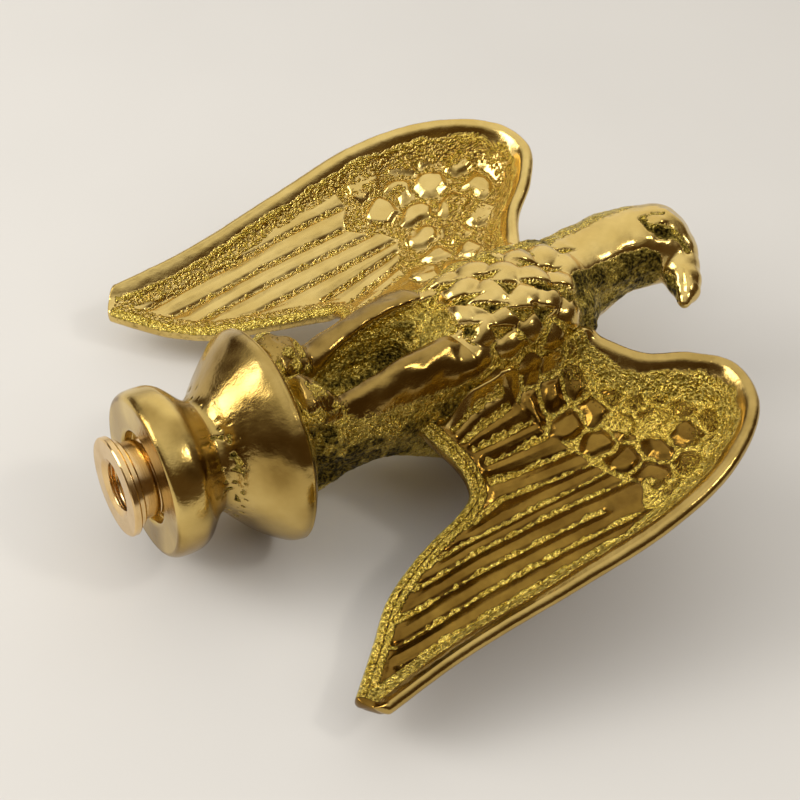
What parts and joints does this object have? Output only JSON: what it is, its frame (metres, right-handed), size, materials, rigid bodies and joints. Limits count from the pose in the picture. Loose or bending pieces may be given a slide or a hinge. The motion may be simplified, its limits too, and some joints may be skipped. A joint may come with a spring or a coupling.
{
  "type": "eagle flag pole finial",
  "caption": "Cast brass eagle with spread wings and its head turned, on a spool pedestal, with a flanged threaded adapter that screws it onto a flag pole's end.",
  "frame": {"origin": "mouth of the adapter's pole thread, on the pole axis, within 1 mm of the thread's first full turn", "axes": "+X along the pole axis from the pole end towards the head, +Z out of the breast, and +Y towards the eagle's right wing; the finial lies on its back, as it is stored or shown on a table"},
  "size_m": [0.1579, 0.1382, 0.0509],
  "materials": {
    "cast_brass": "sand cast, high spots polished, recesses granular and dark with patina",
    "machined_brass": "turned, with fine lathe marks"
  },
  "bodies": {
    "finial": {"pedestal": "cast_brass", "left_foot": "cast_brass", "right_foot": "cast_brass", "left_leg": "cast_brass", "right_leg": "cast_brass", "tail_block": "cast_brass", "torso": "cast_brass", "neck_head": "cast_brass", "left_wing": "cast_brass", "right_wing": "cast_brass"},
    "washer": {"spacer_washer": "machined_brass"},
    "bushing": {"adapter_bushing": "machined_brass"}
  },
  "joints": [
    {"name": "washer_travel", "type": "slide", "parent": "finial", "child": "washer", "axis": [1, 0, 0], "range_m": [-0.006, 0.00487]},
    {"name": "bushing_turn", "type": "hinge", "parent": "washer", "child": "bushing", "pos_m": [0, 0, 0], "axis": [1, 0, 0], "range_deg": [-1442, 1172]}
  ],
  "couplings": [
    {"joint": "bushing_turn", "follows": "washer_travel", "rad_per_m": 4188.8}
  ]
}
